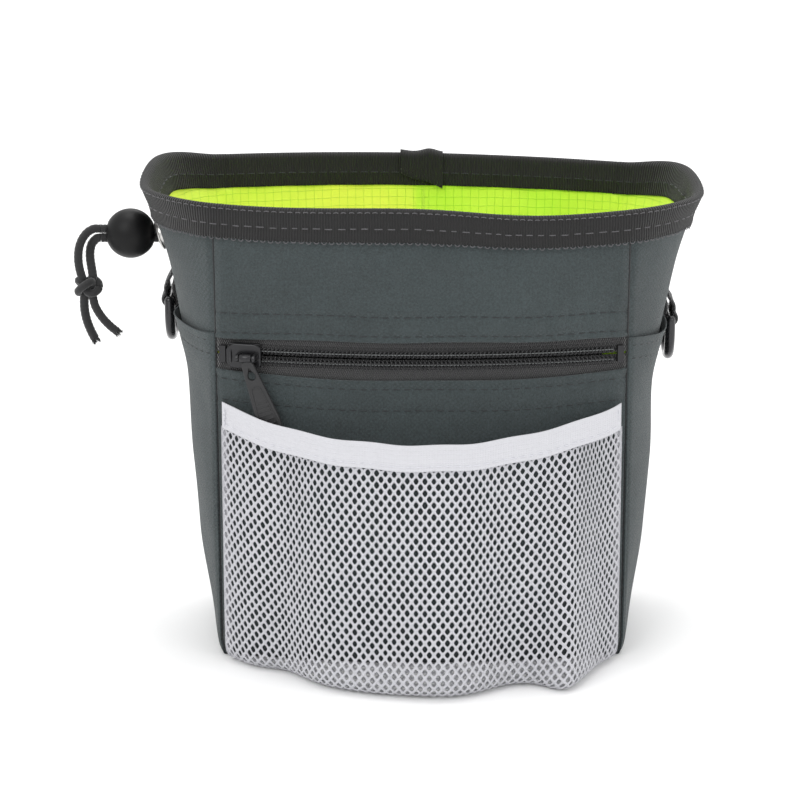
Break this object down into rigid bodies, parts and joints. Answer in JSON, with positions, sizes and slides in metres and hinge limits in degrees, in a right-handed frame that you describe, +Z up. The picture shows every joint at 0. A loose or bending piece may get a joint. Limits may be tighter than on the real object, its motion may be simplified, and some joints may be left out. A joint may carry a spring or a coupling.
{
  "type": "treat pouch",
  "caption": "Open-topped cloth training pouch with zip pocket, mesh front pocket, drawstring throat, D-rings and belt clip",
  "frame": {"origin": "centre of the flat base, on the surface the pouch stands on", "axes": "+X to the right seen from the front, -Y out of the front panel, +Z up"},
  "size_m": [0.2188, 0.1359, 0.1609],
  "materials": {
    "oxford": "woven, matt",
    "ripstop": "thin ripstop with a fine grid",
    "grosgrain": "ribbed",
    "zip_tape": "woven tape",
    "zip_coil": "nylon coil",
    "zip_metal": "black enamel",
    "pull": "moulded",
    "mesh": "open diamond mesh",
    "elastic": "woven elastic",
    "cord": "braided",
    "lock_plastic": "fine satin",
    "eyelet_metal": "nickel plated",
    "ring_metal": "gloss black",
    "webbing": "woven webbing",
    "steel": "spring steel"
  },
  "bodies": {
    "pouch": {"front_panel_lower": "oxford", "front_panel_upper": "oxford", "side_panel_left": "oxford", "side_panel_right": "oxford", "side_pocket_left": "oxford", "side_pocket_right": "oxford", "back_panel": "oxford", "bottom_panel": "oxford", "lining": "ripstop", "throat": "ripstop", "rim_binding": "grosgrain", "binding_lap": "grosgrain", "zip_tape_lower": "zip_tape", "zip_tape_upper": "zip_tape", "zip_coil_lower": "zip_coil", "zip_coil_upper": "zip_coil", "zip_stops": "zip_metal", "zip_pocket_bag": "zip_tape", "mesh_pocket": "mesh", "mesh_band": "elastic", "drawstring_cord": "cord", "eyelet_face": "eyelet_metal", "eyelet_washer": "eyelet_metal", "ring_tab_left": "webbing", "ring_tab_right": "webbing", "belt_loop": "webbing", "belt_clip_plate": "steel", "belt_clip_bend": "steel", "clip_rivets": "steel"},
    "zip_slider": {"zip_slider": "zip_metal"},
    "zip_pull": {"zip_pull_tab": "pull"},
    "ring_left": {"d_ring_left": "ring_metal"},
    "ring_right": {"d_ring_right": "ring_metal"},
    "cord_lock": {"cord_lock_shell": "lock_plastic", "cord_lock_spring": "steel", "drawstring_ends": "cord"},
    "lock_button": {"cord_lock_button": "lock_plastic"},
    "clip_tongue": {"belt_clip_tongue": "steel"}
  },
  "joints": [
    {"name": "zip_slide", "type": "hinge", "parent": "pouch", "child": "zip_slider", "pos_m": [0, 0.21915, 0.1093], "axis": [0, 0, 1], "range_deg": [0, 21.5]},
    {"name": "pull_lift", "type": "hinge", "parent": "zip_slider", "child": "zip_pull", "pos_m": [-0.05905, -0.04135, 0.1093], "axis": [-0.974, 0.2265, 0], "range_deg": [-4, 150], "deforming": ["mesh_band", "mesh_pocket"]},
    {"name": "ring_left_swing", "type": "hinge", "parent": "pouch", "child": "ring_left", "pos_m": [-0.08843, 0.017, 0.117], "axis": [0, 1, 0], "range_deg": [-15, 110]},
    {"name": "ring_right_swing", "type": "hinge", "parent": "pouch", "child": "ring_right", "pos_m": [0.08744, 0.017, 0.11], "axis": [0, -1, 0], "range_deg": [-15, 110]},
    {"name": "cord_lock_slide", "type": "slide", "parent": "pouch", "child": "cord_lock", "axis": [-1, 0, 0], "range_m": [0, 0.012]},
    {"name": "lock_button_press", "type": "slide", "parent": "cord_lock", "child": "lock_button", "axis": [0, -1, 0], "range_m": [0, 0.0025], "stiffness_N_per_m": 800, "springref_m": -0.001, "deforming": ["cord_lock_spring"]},
    {"name": "clip_spring", "type": "hinge", "parent": "pouch", "child": "clip_tongue", "pos_m": [0, 0.0547, 0.128], "axis": [1, 0, 0], "range_deg": [0, 8], "stiffness_Nm_per_rad": 4, "deforming": ["belt_clip_bend"]}
  ]
}
